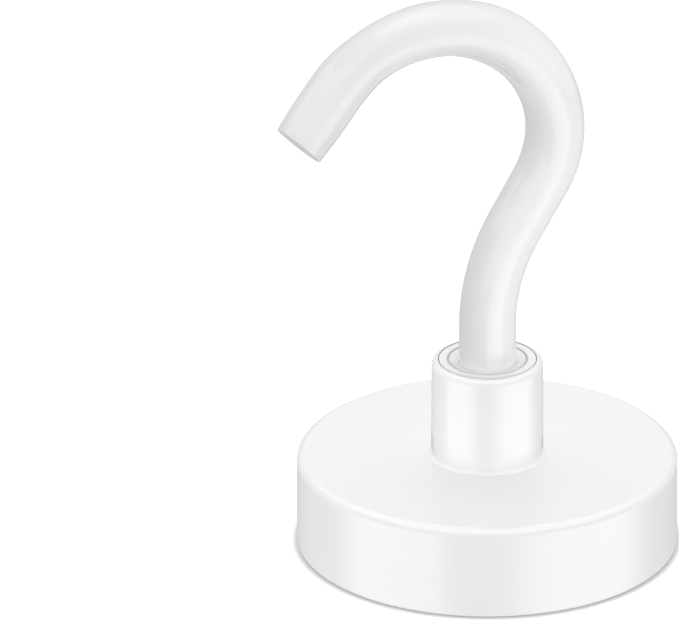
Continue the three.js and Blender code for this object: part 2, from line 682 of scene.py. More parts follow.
@dataclass
class ScrewThread:
    """A right-handed screw thread, raised on or sunk into a band of a piece that turns about Z.

    Attributes:
        pitch: The rise of one turn, in millimetres.
        depth: How far the crest stands off the band, in millimetres. It is negative for a nut's thread.
        crest_share: The flat of the crest, as a share of the pitch.
        root_share: The flat of the root, likewise.
        phase: Where the thread starts, as a share of a turn.
        bare_weight: The thread weight past which a face is cut and loses its paint.
    """

    pitch: float
    depth: float
    crest_share: float = 1 / 8
    root_share: float = 1 / 4
    phase: float = 0.0
    bare_weight: float = 0.02

    def tree(self) -> bpy.types.NodeTree:
        """Builds the tree that pushes a band's vertices out to the thread's form, or finds it.

        Returns:
            The tree.
        """
        found = bpy.data.node_groups.get("screw_thread")
        if found:
            return found
        numbers = ("Pitch", "Depth", "Crest share", "Root share", "Phase")
        build = new_tree("screw_thread", {**dict.fromkeys(numbers, "NodeSocketFloat"),
                                          "Finish": "NodeSocketMaterial"})
        given = build.add("NodeGroupInput").outputs
        place = build.add("GeometryNodeInputPosition").outputs[0]
        x, y, z = build.parts(place)
        weight = build.attribute("threaded")
        turns = build.math("DIVIDE", build.math("ARCTAN2", y, x), 2 * math.pi)
        climb = build.math("DIVIDE", z, given["Pitch"])
        along = build.math("FRACT", build.math("ADD", build.math("SUBTRACT", climb, turns), given["Phase"]))
        folded = build.math("SUBTRACT", 1.0, build.math("ABSOLUTE", build.math(
            "SUBTRACT", build.math("MULTIPLY", along, 2.0), 1.0)))
        top = build.math("SUBTRACT", 1.0, given["Crest share"])
        flank = build.ramp(folded, given["Root share"], top, 0.0, 1.0)
        push = build.math("MULTIPLY", build.math("MULTIPLY", flank, weight), given["Depth"])
        level = build.vector_math("MULTIPLY", place, (1.0, 1.0, 0.0)).outputs["Vector"]
        outward = build.vector_math("NORMALIZE", level).outputs["Vector"]
        threaded = build.shift(given["Geometry"], outward, push)
        build.finish(threaded, given["Finish"], where=build.math("GREATER_THAN", weight, self.bare_weight))
        return build.tree

    def cut(self, piece: bpy.types.Object, finish: Finish) -> None:
        """Gives a piece its thread.

        Args:
            piece: A piece whose vertices have the attribute threaded.
            finish: What the thread is covered with.
        """
        apply_tree(piece, self.tree(), {
            "Pitch": self.pitch * MM,
            "Depth": self.depth * MM,
            "Crest share": self.crest_share,
            "Root share": self.root_share,
            "Phase": self.phase,
            "Finish": finish.material(),
        })


@dataclass
class Pot:
    """The turned steel cup, painted outside and on its pole ring, with its recess left bright.

    Attributes:
        wall: The thickness of its side.
        floor: The thickness between its recess and its back.
        top_round: The round of its back's edge.
        foot_round: The round of the pole ring's outer edge.
        lip_round: The round of the pole ring's inner edge.
        corner_round: The round at the bottom of the recess.
        rivet_radius: The hole for the collar's rivet.
        rivet_head_radius: The countersink for its head.
        rivet_head_depth: The depth of that countersink.
        paint_depth: How far the paint reaches over the lip into the recess.
        paint_step: How thick it ends there.
    """

    wall: float = 3.0
    floor: float = 3.0
    top_round: float = 0.7
    foot_round: float = 0.3
    lip_round: float = 0.18
    corner_round: float = 0.4
    rivet_radius: float = 3.25
    rivet_head_radius: float = 4.0
    rivet_head_depth: float = 0.9
    paint_depth: float = 0.12
    paint_step: float = 0.02
    radius: float = field(init=False)
    height: float = field(init=False)

    def __post_init__(self) -> None:
        """Reads the outer size from the frame."""
        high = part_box("pot_cup")[1]
        self.radius = high.x / MM
        self.height = high.z / MM

    @property
    def recess(self) -> float:
        """The recess's radius."""
        return self.radius - self.wall

    @property
    def ceiling(self) -> float:
        """The height of the recess's inner end."""
        return self.height - self.floor

    def build(self) -> bpy.types.Object:
        """Builds the cup and sets it in the frame.

        Returns:
            The cup.
        """
        paint_edge = self.lip_round + self.paint_depth
        piece = Turning("painted_pot", [
            Corner(self.recess, 0, self.lip_round),
            Corner(self.radius, 0, self.foot_round),
            Corner(self.radius, self.height, self.top_round),
            Corner(self.rivet_radius, self.height, coat=Coat.BARE),
            Corner(self.rivet_radius, self.ceiling + self.rivet_head_depth, coat=Coat.BARE),
            Corner(self.rivet_head_radius, self.ceiling, coat=Coat.BARE),
            Corner(self.recess, self.ceiling, self.corner_round, coat=Coat.BARE),
            Corner(self.recess, paint_edge + self.paint_step, coat=Coat.BARE),
            Corner(self.recess - self.paint_step, paint_edge),
        ], closed=True, sides=320).piece([WHITE_PAINT, BRIGHT_STEEL])
        smooth(piece)
        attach(piece, "pot_assembly")
        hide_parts("pot_cup")
        return piece


@dataclass
class Collar:
    """The turned bush, riveted through the pot's floor, with its tapped bore and countersunk mouth.

    Attributes:
        top_round: The round of its outer top edge.
        foot_flare: How far its foot stands out in the frame.
        foot_round: The hollow round of its foot, where the paint runs on to the pot.
        paint_run: How far the paint runs past that round.
        paint_edge: How thick it ends there.
        line_radius: A fine turned line on its top face, just inside the round.
        line_width: Half the width of that line.
        line_depth: Its depth.
        mouth_radius: The countersink's edge.
        mouth_round: The round of that edge.
        worn_and_shaded_width: The width of the band at that edge where the hook has worn the paint. Its grey
            is also painted shade of the mouth's edge.
        dish_depth: How far the countersink's small end lies below the top face.
        lip_radius: The countersink's small end, which the wire just clears.
        lip_depth: The depth of that lip.
        lip_chamfer: The height over which it opens into the bore.
        bore_radius: The bore at the thread's roots.
        thread: The nut's thread.
        bore_depth: The bore's depth below the top face.
        drill_angle: Half the angle of the drill's point at its end, in degrees.
        rivet_radius: The shank of the rivet.
        rivet_head_radius: Its swaged head.
        rivet_head_depth: The height of that head.
    """

    top_round: float = 0.55
    foot_flare: float = 0.3
    foot_round: float = 0.3
    paint_run: float = 0.06
    paint_edge: float = 0.008
    line_radius: float = 4.15
    line_width: float = 0.16
    line_depth: float = 0.034
    mouth_radius: float = 3.27
    mouth_round: float = 0.05
    worn_and_shaded_width: float = 0.16
    dish_depth: float = 0.26
    lip_radius: float = 2.408
    lip_depth: float = 0.3
    lip_chamfer: float = 0.15
    bore_radius: float = 2.58
    thread: ScrewThread = field(default_factory=lambda: ScrewThread(pitch=0.8, depth=-0.23, phase=0.5))
    bore_depth: float = 7.68
    drill_angle: float = 59.0
    rivet_radius: float = 3.2
    rivet_head_radius: float = 3.95
    rivet_head_depth: float = 0.9
    radius: float = field(init=False)
    top: float = field(init=False)
    base: float = field(init=False)

    def __post_init__(self) -> None:
        """Reads the outer size from the frame."""
        low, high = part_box("collar")
        self.top = high.z / MM
        self.base = low.z / MM
        self.radius = high.x / MM - self.foot_flare

    def build(self, seat: float) -> bpy.types.Object:
        """Builds the bush and sets it in the frame.

        Args:
            seat: The height of the pot's back, which the shoulder sits on.

        Returns:
            The bush.
        """
        lip_top = self.top - self.dish_depth
        lip_foot = lip_top - self.lip_depth
        bore_end = self.top - self.bore_depth
        flare = self.radius + self.foot_round + self.paint_run
        paint_top = seat + self.paint_edge
        piece = Turning("tapped_collar", [
            Corner(0, self.base, coat=Coat.BARE),
            Corner(self.rivet_head_radius, self.base, coat=Coat.BARE),
            Corner(self.rivet_radius, self.base + self.rivet_head_depth, coat=Coat.BARE),
            Corner(self.rivet_radius, seat),
            Corner(flare, seat),
            Corner(flare, paint_top),
            Corner(self.radius, paint_top, self.foot_round),
            Corner(self.radius, self.top, self.top_round),
            Corner(self.line_radius + self.line_width, self.top),
            Corner(self.line_radius, self.top - self.line_depth),
            Corner(self.line_radius - self.line_width, self.top),
            # The dark band at the mouth: worn paint, whose grey is also painted shade of the mouth's edge.
            Corner(self.mouth_radius + self.worn_and_shaded_width, self.top, coat=Coat.BARE),
            Corner(self.mouth_radius, self.top, self.mouth_round, coat=Coat.BARE),
            Corner(self.mouth_radius - self.mouth_round, self.top - self.mouth_round),
            Corner(self.lip_radius, lip_top),
            Corner(self.lip_radius, lip_foot),
            Corner(self.bore_radius, lip_foot - self.lip_chamfer, threaded=True),
            Corner(self.bore_radius, bore_end),
            Corner(0, bore_end - self.bore_radius / math.tan(math.radians(self.drill_angle))),
        ]).piece([WHITE_PAINT, WORN_AND_SHADED_EDGE])
        self.thread.cut(piece, BRIGHT_STEEL)
        smooth(piece)
        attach(piece, "pot_assembly")
        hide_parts("collar")
        return piece


@dataclass
class Magnet:
    """The plated disc.

    Attributes:
        edge_round: The round of its edges.
    """

    edge_round: float = 0.28

    def build(self) -> bpy.types.Object:
        """Builds the disc and sets it in the frame.

        Returns:
            The disc.
        """
        low, high = (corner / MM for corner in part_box("magnet_disc"))
        radius = high.x
        piece = Turning("plated_magnet", [
            Corner(0, low.z),
            Corner(radius, low.z, self.edge_round),
            Corner(radius, high.z, self.edge_round),
            Corner(0, high.z),
        ], sides=320).piece([SATIN_NICKEL])
        smooth(piece)
        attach(piece, "pot_assembly")
        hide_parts("magnet_disc")
        return piece


@dataclass
class Resin:
    """The black resin behind and round the magnet, with the hollow surface that it cured to.

    Attributes:
        clearance: The gap to the metal, which keeps the two skins apart.
        creep: How far the resin climbs the metal on both sides of its ring.
        creep_steps: The number of steps across the ring.
        bed_chamfer: The slope where the ring meets the bed.
        top_round: The round of the bed's upper edge.
        sharp_angle: The angle past which its edges are sharp, in degrees.
    """

    clearance: float = 0.04
    creep: float = 0.2
    creep_steps: int = 8
    bed_chamfer: float = 0.3
    top_round: float = 0.4
    sharp_angle: float = 50.0

    def build(self, magnet_radius: float) -> bpy.types.Object:
        """Builds the resin and sets it in the frame.

        Args:
            magnet_radius: The radius of the disc that it holds.

        Returns:
            The resin.
        """
        low, high = (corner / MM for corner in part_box("epoxy_bond"))
        outer = high.x
        inner = magnet_radius + self.clearance
        magnet_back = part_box("magnet_disc")[1].z / MM
        trough = []
        for step in range(self.creep_steps + 1):
            share = step / self.creep_steps
            climb = self.creep * (2 * share - 1) ** 4
            trough.append(Corner(inner + (outer - inner) * share, low.z + self.creep - climb))
        piece = Turning("cured_resin", [
            Corner(0, magnet_back),
            Corner(inner - self.bed_chamfer, magnet_back),
            Corner(inner, magnet_back - self.bed_chamfer),
            *trough,
            Corner(outer, high.z, self.top_round),
            Corner(0, high.z),
        ]).piece([BLACK_RESIN])
        smooth(piece, math.radians(self.sharp_angle))
        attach(piece, "pot_assembly")
        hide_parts("epoxy_bond")
        return piece


@dataclass(frozen=True)
class Station:
    """A point of the wire's centreline.

    Attributes:
        x: Its place across, in millimetres.
        z: Its height, in millimetres.
        radius: The wire's radius there, in millimetres.
        thread: How much of the thread's depth it carries.
        cut: How far it leans over to the cut.
    """

    x: float
    z: float
    radius: float
    thread: float = 0.0
    cut: float = 0.0


@dataclass
class BendLine:
    """The wire's centreline in the XZ plane, drawn upwards as straights and tangent arcs.

    Attributes:
        z: Its height, in millimetres.
        x: Its place across, in millimetres.
        heading: Its direction, in degrees from +X.
        walked: The distance that it has come.
        step: The length of a step.
        spots: The place and the distance walked after each step.
    """

    z: float
    x: float = 0.0
    heading: float = 90.0
    walked: float = 0.0
    step: float = 0.4
    spots: list[tuple[float, float, float]] = field(default_factory=list)

    @property
    def ahead(self) -> Vector:
        """The direction of its heading, as a vector in (x, z)."""
        return Vector((math.cos(math.radians(self.heading)), math.sin(math.radians(self.heading))))

    def _advance(self, length: float) -> None:
        """Takes one step along the heading.

        Args:
            length: The step's length.
        """
        way = self.ahead * length
        self.x, self.z, self.walked = self.x + way.x, self.z + way.y, self.walked + length
        self.spots.append((self.x, self.z, self.walked))

    def straight(self, length: float) -> "BendLine":
        """Draws a straight.

        Args:
            length: Its length.

        Returns:
            The line itself.
        """
        count = max(1, round(length / self.step))
        for _ in range(count):
            self._advance(length / count)
        return self

    def bend(self, radius: float, angle: float) -> "BendLine":
        """Draws an arc.

        Args:
            radius: Its radius.
            angle: Its angle in degrees, positive to the left.

        Returns:
            The line itself.
        """
        count = max(1, round(math.radians(abs(angle)) * radius / self.step))
        turn = angle / count
        chord = 2 * radius * math.sin(math.radians(abs(turn)) / 2)
        for _ in range(count):
            self.heading += turn / 2
            self._advance(chord)
            self.heading += turn / 2
        return self


@dataclass
class WireHook:
    """The bent wire: threaded end, straight shank, throw, shoulder, loop and cut tip.

    Attributes:
        core_radius: The threaded end at the thread's roots.
        thread: The screw's thread.
        lead: The chamfer of the threaded end.
        lead_flat: How much less it takes off the radius than off the length.
        run_in: The length over which the thread rises to its depth from the foot.
        run_out: The length over which it fades under the full wire.
        mouth_depth: How far below the collar's top the full wire starts.
        shank_rise: The straight wire above the collar.
        throw_radius: The bend to +X.
        throw_angle: Its angle, in degrees.
        throw_run: The straight after it.
        shoulder_radius: The tighter start of the loop.
        shoulder_angle: Its angle, in degrees.
        loop_radius: The loop.
        loop_angle: Its angle, in degrees.
        tip_run: The straight to the tip.
        cut_lean: How far the cut leans in the hook's plane, in degrees.
        cut_skew: How far it is turned out of that plane, in degrees.
        cut_run: The length over which the wire's rings lean over to the cut.
        gauge: How the drawn wire swells and thins: distances above the thread, and shares of its radius.
        neck_share: How far the shears thinned the tip, as a share of the radius.
        neck_run: The length over which they did.
        edge_round: The round of the cut's edge.
        edge_hold: The gap between the last plain ring and that round, which keeps the shading beside it.
        edge_steps: The number of steps in that round.
        lean_steps: The number of steps in which the rings lean over.
        dome: How far the painted cut bulges in its middle.
        dome_shares: The rings of that bulge, as shares of its radius.
        thread_step: The length of a step along the thread.
        sides: The number of steps round the wire.
    """

    core_radius: float = 2.05
    thread: ScrewThread = field(default_factory=lambda: ScrewThread(pitch=0.8, depth=0.24))
    lead: float = 0.55
    lead_flat: float = 0.1
    run_in: float = 0.5
    run_out: float = 0.7
    mouth_depth: float = 1.0
    shank_rise: float = 3.15
    throw_radius: float = 16.6
    throw_angle: float = 31.7
    throw_run: float = 4.2
    shoulder_radius: float = 9.2
    shoulder_angle: float = 46.8
    loop_radius: float = 11.1
    loop_angle: float = 127.6
    tip_run: float = 5.4
    cut_lean: float = 8.4
    cut_skew: float = 7.3
    cut_run: float = 1.0
    gauge: tuple[tuple[float, float], ...] = (
        (0.0, 1.0), (9.0, 1.0), (15.0, 1.014), (21.0, 1.044), (27.0, 1.035), (33.0, 1.043), (39.0, 0.986),
        (45.0, 0.949), (49.0, 1.0),
    )
    neck_share: float = 0.938
    neck_run: float = 2.5
    edge_round: float = 0.1
    edge_hold: float = 0.03
    edge_steps: int = 5
    lean_steps: int = 4
    dome: float = 0.06
    dome_shares: tuple[float, ...] = (0.97, 0.85, 0.65, 0.4, 0.15)
    thread_step: float = 0.05
    sides: int = 112
    radius: float = field(init=False)
    foot: float = field(init=False)
    thread_top: float = field(init=False)

    def __post_init__(self) -> None:
        """Reads the wire's radius and the threaded end's place from the frame."""
        low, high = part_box("hook")
        self.radius = high.y / MM
        self.foot = low.z / MM
        self.thread_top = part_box("collar")[1].z / MM - self.mouth_depth

    def width_at(self, walked: float, whole: float) -> float:
        """Works out the wire's radius at a place along it.

        Args:
            walked: The distance from where the full wire starts.
            whole: The wire's whole length from there.

        Returns:
            The radius.
        """
        share = self.gauge[-1][1]
        for (start, low), (end, high) in zip(self.gauge, self.gauge[1:]):
            if walked <= end:
                along = (walked - start) / (end - start)
                eased = along * along * (3 - 2 * along)
                share = low + (high - low) * eased
                break
        necked = max(0.0, 1 - (whole - walked) / self.neck_run)
        return self.radius * (share + (self.neck_share - share) * necked)

    def threaded_end(self) -> list[Station]:
        """Lays out the end that screws into the collar, up to where the full wire starts.

        Returns:
            Its stations.
        """
        shoulder = self.radius - self.core_radius
        start = self.foot + self.lead
        run = self.thread_top - shoulder - start
        count = round(run / self.thread_step)
        made = [Station(0.0, self.foot, self.core_radius - self.lead + self.lead_flat)]
        for i in range(count + 1):
            along = run * i / count
            weight = max(0.0, min(1.0, along / self.run_in, (run - along) / self.run_out))
            made.append(Station(0.0, start + along, self.core_radius, weight))
        made.append(Station(0.0, self.thread_top, self.radius))
        return made

    def cut_end(self, line: BendLine) -> list[Station]:
        """Lays out the last stretch, which leans over to the cut, its fine round and its domed face.

        Args:
            line: The centreline, which stands where that stretch starts.

        Returns:
            Its stations.
        """
        whole = line.walked + self.cut_run
        plain = self.cut_run - self.edge_round - self.edge_hold
        shares = [i / self.lean_steps for i in range(1, self.lean_steps + 1)]
        places = [(plain * share, 0.0, share) for share in shares]
        places.append((self.cut_run - self.edge_round, 0.0, 1.0))
        for i in range(1, self.edge_steps + 1):
            turn = math.pi / 2 * i / self.edge_steps
            along = self.cut_run - self.edge_round * (1 - math.sin(turn))
            places.append((along, self.edge_round * (1 - math.cos(turn)), 1.0))
        start = Vector((line.x, line.z))
        made = []
        for along, inset, cut in places:
            spot = start + line.ahead * along
            made.append(Station(spot.x, spot.y, self.width_at(line.walked + along, whole) - inset, 0.0, cut))
        rim = made[-1].radius
        for share in self.dome_shares:
            spot = start + line.ahead * (self.cut_run + self.dome * (1 - share * share))
            made.append(Station(spot.x, spot.y, rim * share, 0.0, 1.0))
        return made

    def stations(self) -> tuple[list[Station], Vector, Vector]:
        """Walks the centreline from the threaded end to the tip.

        Returns:
            The stations, the wire's direction at the tip and the tip's place, both in (x, z).
        """
        line = BendLine(z=self.thread_top)
        line.straight(self.mouth_depth + self.shank_rise).bend(self.throw_radius, -self.throw_angle)
        line.straight(self.throw_run).bend(self.shoulder_radius, self.shoulder_angle)
        line.bend(self.loop_radius, self.loop_angle).straight(self.tip_run - self.cut_run)
        whole = line.walked + self.cut_run
        wire = [Station(x, z, self.width_at(walked, whole)) for x, z, walked in line.spots]
        tip = Vector((line.x, line.z)) + line.ahead * self.cut_run
        return [*self.threaded_end(), *wire, *self.cut_end(line)], line.ahead, tip

    @staticmethod
    def tree() -> bpy.types.NodeTree:
        """Builds the tree that draws the wire along its centreline and leans its end over to the cut.

        Returns:
            The tree.
        """
        build = new_tree("bent_wire", {
            "Sides": "NodeSocketInt",
            "Tip direction": "NodeSocketVector",
            "Cut slope across": "NodeSocketFloat",
            "Cut slope in plane": "NodeSocketFloat",
            "Tip": "NodeSocketVector",
            "Finish": "NodeSocketMaterial",
        })
        given = build.add("NodeGroupInput").outputs
        line = build.add("GeometryNodeMeshToCurve")
        build.feed(line.inputs["Mesh"], given["Geometry"])
        circle = build.add("GeometryNodeCurvePrimitiveCircle", mode="RADIUS")
        build.feed(circle.inputs["Resolution"], given["Sides"])
        circle.inputs["Radius"].default_value = 1.0
        sweep = build.add("GeometryNodeCurveToMesh")
        build.feed(sweep.inputs["Curve"], line.outputs["Curve"])
        build.feed(sweep.inputs["Profile Curve"], circle.outputs["Curve"])
        build.feed(sweep.inputs["Scale"], build.attribute("wire_radius"))
        sweep.inputs["Fill Caps"].default_value = True
        place = build.add("GeometryNodeInputPosition").outputs[0]
        from_tip = build.vector_math("SUBTRACT", place, given["Tip"]).outputs["Vector"]
        across = build.math("MULTIPLY", build.parts(from_tip)["Y"], given["Cut slope across"])
        side = build.vector_math("CROSS_PRODUCT", given["Tip direction"], (0.0, 1.0, 0.0)).outputs["Vector"]
        sideways = build.vector_math("DOT_PRODUCT", from_tip, side).outputs["Value"]
        in_plane = build.math("MULTIPLY", sideways, given["Cut slope in plane"])
        shift = build.math("MULTIPLY", build.math("ADD", across, in_plane), build.attribute("cut_share"))
        leaned = build.shift(sweep.outputs["Mesh"], given["Tip direction"], shift)
        build.finish(leaned, given["Finish"])
        return build.tree

    def build(self) -> bpy.types.Object:
        """Builds the hook and sets it in the frame.

        Returns:
            The hook.
        """
        stations, ahead, tip = self.stations()
        mesh = bpy.data.meshes.new("wire_hook")
        points = [(s.x * MM, 0.0, s.z * MM) for s in stations]
        mesh.from_pydata(points, [(i, i + 1) for i in range(len(points) - 1)], [])
        for title, values in (
            ("wire_radius", [s.radius * MM for s in stations]),
            ("threaded", [s.thread for s in stations]),
            ("cut_share", [s.cut for s in stations]),
        ):
            mesh.attributes.new(title, "FLOAT", "POINT").data.foreach_set("value", values)
        piece = add_object("wire_hook", mesh)
        apply_tree(piece, self.tree(), {
            "Sides": self.sides,
            "Tip direction": (ahead.x, 0.0, ahead.y),
            "Cut slope across": math.tan(math.radians(self.cut_skew)),
            "Cut slope in plane": math.tan(math.radians(self.cut_lean)),
            "Tip": (tip.x * MM, 0.0, tip.y * MM),
            "Finish": WHITE_PAINT.material(),
        })
        self.thread.cut(piece, BRIGHT_STEEL)
        smooth(piece)
        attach(piece, "hook")
        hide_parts("hook")
        return piece


@dataclass
class PhotoView:
    """The camera at the photograph's view, with a long lens because that view is nearly parallel.

    Attributes:
        azimuth: Its turn round the object, in degrees, from looking along +Y.
        elevation: Its angle above the horizon, in degrees.
        image: The photograph's width and height, in pixels.
        origin: The pixel where the object's origin lies.
        scale: Pixels to a millimetre at the origin.
        distance: How far off it stands, in millimetres.
        sensor: The width of its sensor, in millimetres.
        sight: How far it sees, in metres.
    """

    azimuth: float = -21.9
    elevation: float = 24.04
    image: tuple[int, int] = (679, 622)
    origin: tuple[float, float] = (487.0, 538.4)
    scale: float = 11.885
    distance: float = 2400.0
    sensor: float = 36.0
    sight: float = 100.0

    def axes(self) -> tuple[Vector, Vector, Vector]:
        """Works out the camera's right, up and back directions.

        Returns:
            The three directions.
        """
        turn, tilt = math.radians(self.azimuth), math.radians(self.elevation)
        back = Vector((math.sin(turn) * math.cos(tilt), -math.cos(turn) * math.cos(tilt), math.sin(tilt)))
        right = Vector((math.cos(turn), math.sin(turn), 0.0))
        return right, back.cross(right), back

    def build(self) -> None:
        """Makes the camera and gives it to the scene."""
        right, up, back = self.axes()
        width, height = self.image
        aside = (self.origin[0] - width / 2) / self.scale
        below = (self.origin[1] - height / 2) / self.scale
        target = (up * below - right * aside) * MM
        data = bpy.data.cameras.new("photo_view")
        data.sensor_width = self.sensor
        data.lens = self.sensor * self.distance * self.scale / width
        data.clip_end = self.sight
        camera = add_object("photo_view", data)
        camera.location = target + back * (self.distance * MM)
        camera.rotation_mode = "QUATERNION"
        camera.rotation_quaternion = (-back).to_track_quat("-Z", "Y")
        bpy.context.scene.camera = camera


@dataclass(frozen=True)
class SoftBox:
    """A soft box that stands in a belt of light.

    Attributes:
        aim: Its direction in degrees from the camera's side, growing to the camera's right.
        half_width: Half its width, in degrees.
        strength: Its strength, in place of the belt's.
        edge: Half the width of its soft edge, in degrees.
    """

    aim: float
    half_width: float
    strength: float
    edge: float = 15.0


@dataclass(frozen=True)
class Belt:
    """A level belt of the studio's light, with its strength on four sides as the camera sees them.

    Attributes:
        end: Where the next one starts: an elevation in degrees, or on the floor a distance in millimetres.
        front: Its strength on the camera's side.
        right: Its strength to the right, if it isn't the front's.
        back: Its strength behind the object, if it isn't the right's.
        left: Its strength to the left, if it isn't the right's.
        boxes: The soft boxes that stand in it.
    """

    end: float
    front: float
    right: float | None = None
    back: float | None = None
    left: float | None = None
    boxes: tuple[SoftBox, ...] = ()

    def stops(self) -> tuple[tuple[float, float], ...]:
        """Lists its strengths round the object.

        Returns:
            The place of each, as a share of a turn from the back, and the strength there.
        """
        right = self.front if self.right is None else self.right
        back = right if self.back is None else self.back
        left = right if self.left is None else self.left
        return (0.0, back), (0.25, left), (0.5, self.front), (0.75, right), (1.0, back)


@dataclass(frozen=True)
class LightSet:
    """One set of soft light, for some of the pieces.

    Attributes:
        name: What it lights.
        plain: The surround's strength as plain light, in belts from the horizon up.
        gloss: The surround's strength as the gloss shows it, in belts from straight below up.
        bounce: The light that the floor throws back, in rings from the object out.
    """

    name: str
    plain: tuple[Belt, ...]
    gloss: tuple[Belt, ...]
    bounce: tuple[Belt, ...]


POT_LIGHT = LightSet(
    name="pot",
    plain=(
        Belt(30, front=1.5, right=1.3, left=1.4),
        Belt(60, front=0.7, right=0.8, back=1.9),
        Belt(90, front=0.6),
    ),
    gloss=(
        Belt(-50, front=1.0),
        Belt(-8, front=0.0, right=0.1, back=0.6,
             boxes=(SoftBox(-60, 33, 2.5), SoftBox(60, 39, 2.9, edge=22))),
        Belt(18, front=0.4, right=0.8, back=0.4),
        Belt(30, front=1.1, right=0.8, back=1.1),
        Belt(46, front=2.3, right=2.8, back=1.0),
        Belt(72, front=4.0, right=3.2),
        Belt(90, front=2.8),
    ),
    bounce=(Belt(45, front=0.75), Belt(3000, front=0.8, right=0.75, back=0.7)),
)
HOOK_LIGHT = LightSet(
    name="hook",
    plain=(
        Belt(30, front=1.25, right=0.85, back=0.5, left=0.55, boxes=(SoftBox(180, 25, 1.2),)),
        Belt(60, front=1.3, right=0.95, back=0.55, left=0.6, boxes=(SoftBox(180, 25, 1.3),)),
        Belt(90, front=1.1),
    ),
    gloss=(
        Belt(-50, front=1.4, right=0.9, back=0.8, left=1.1),
        Belt(-8, front=1.0, right=0.5, back=0.6, left=0.85,
             boxes=(SoftBox(28, 30, 2.8), SoftBox(112, 40, 0.0))),
        Belt(18, front=1.5, right=0.8, back=0.5, left=1.0,
             boxes=(SoftBox(-18, 25, 2.5), SoftBox(72, 15, 1.5))),
        Belt(45, front=0.4, right=0.8, back=0.2, left=1.0, boxes=(SoftBox(-60, 56, 2.4, edge=25),)),
        Belt(72, front=1.0, right=1.25, back=1.0, left=0.8),
        Belt(90, front=2.3),
    ),
    bounce=(
        Belt(45, front=0.9, right=1.9, back=1.0, left=0.4,
             boxes=(SoftBox(65, 45, 2.0), SoftBox(-45, 32, 0.3))),
        Belt(3000, front=0.5, right=1.15, back=0.8, left=0.7, boxes=(SoftBox(-20, 20, 0.15),)),
    ),
)


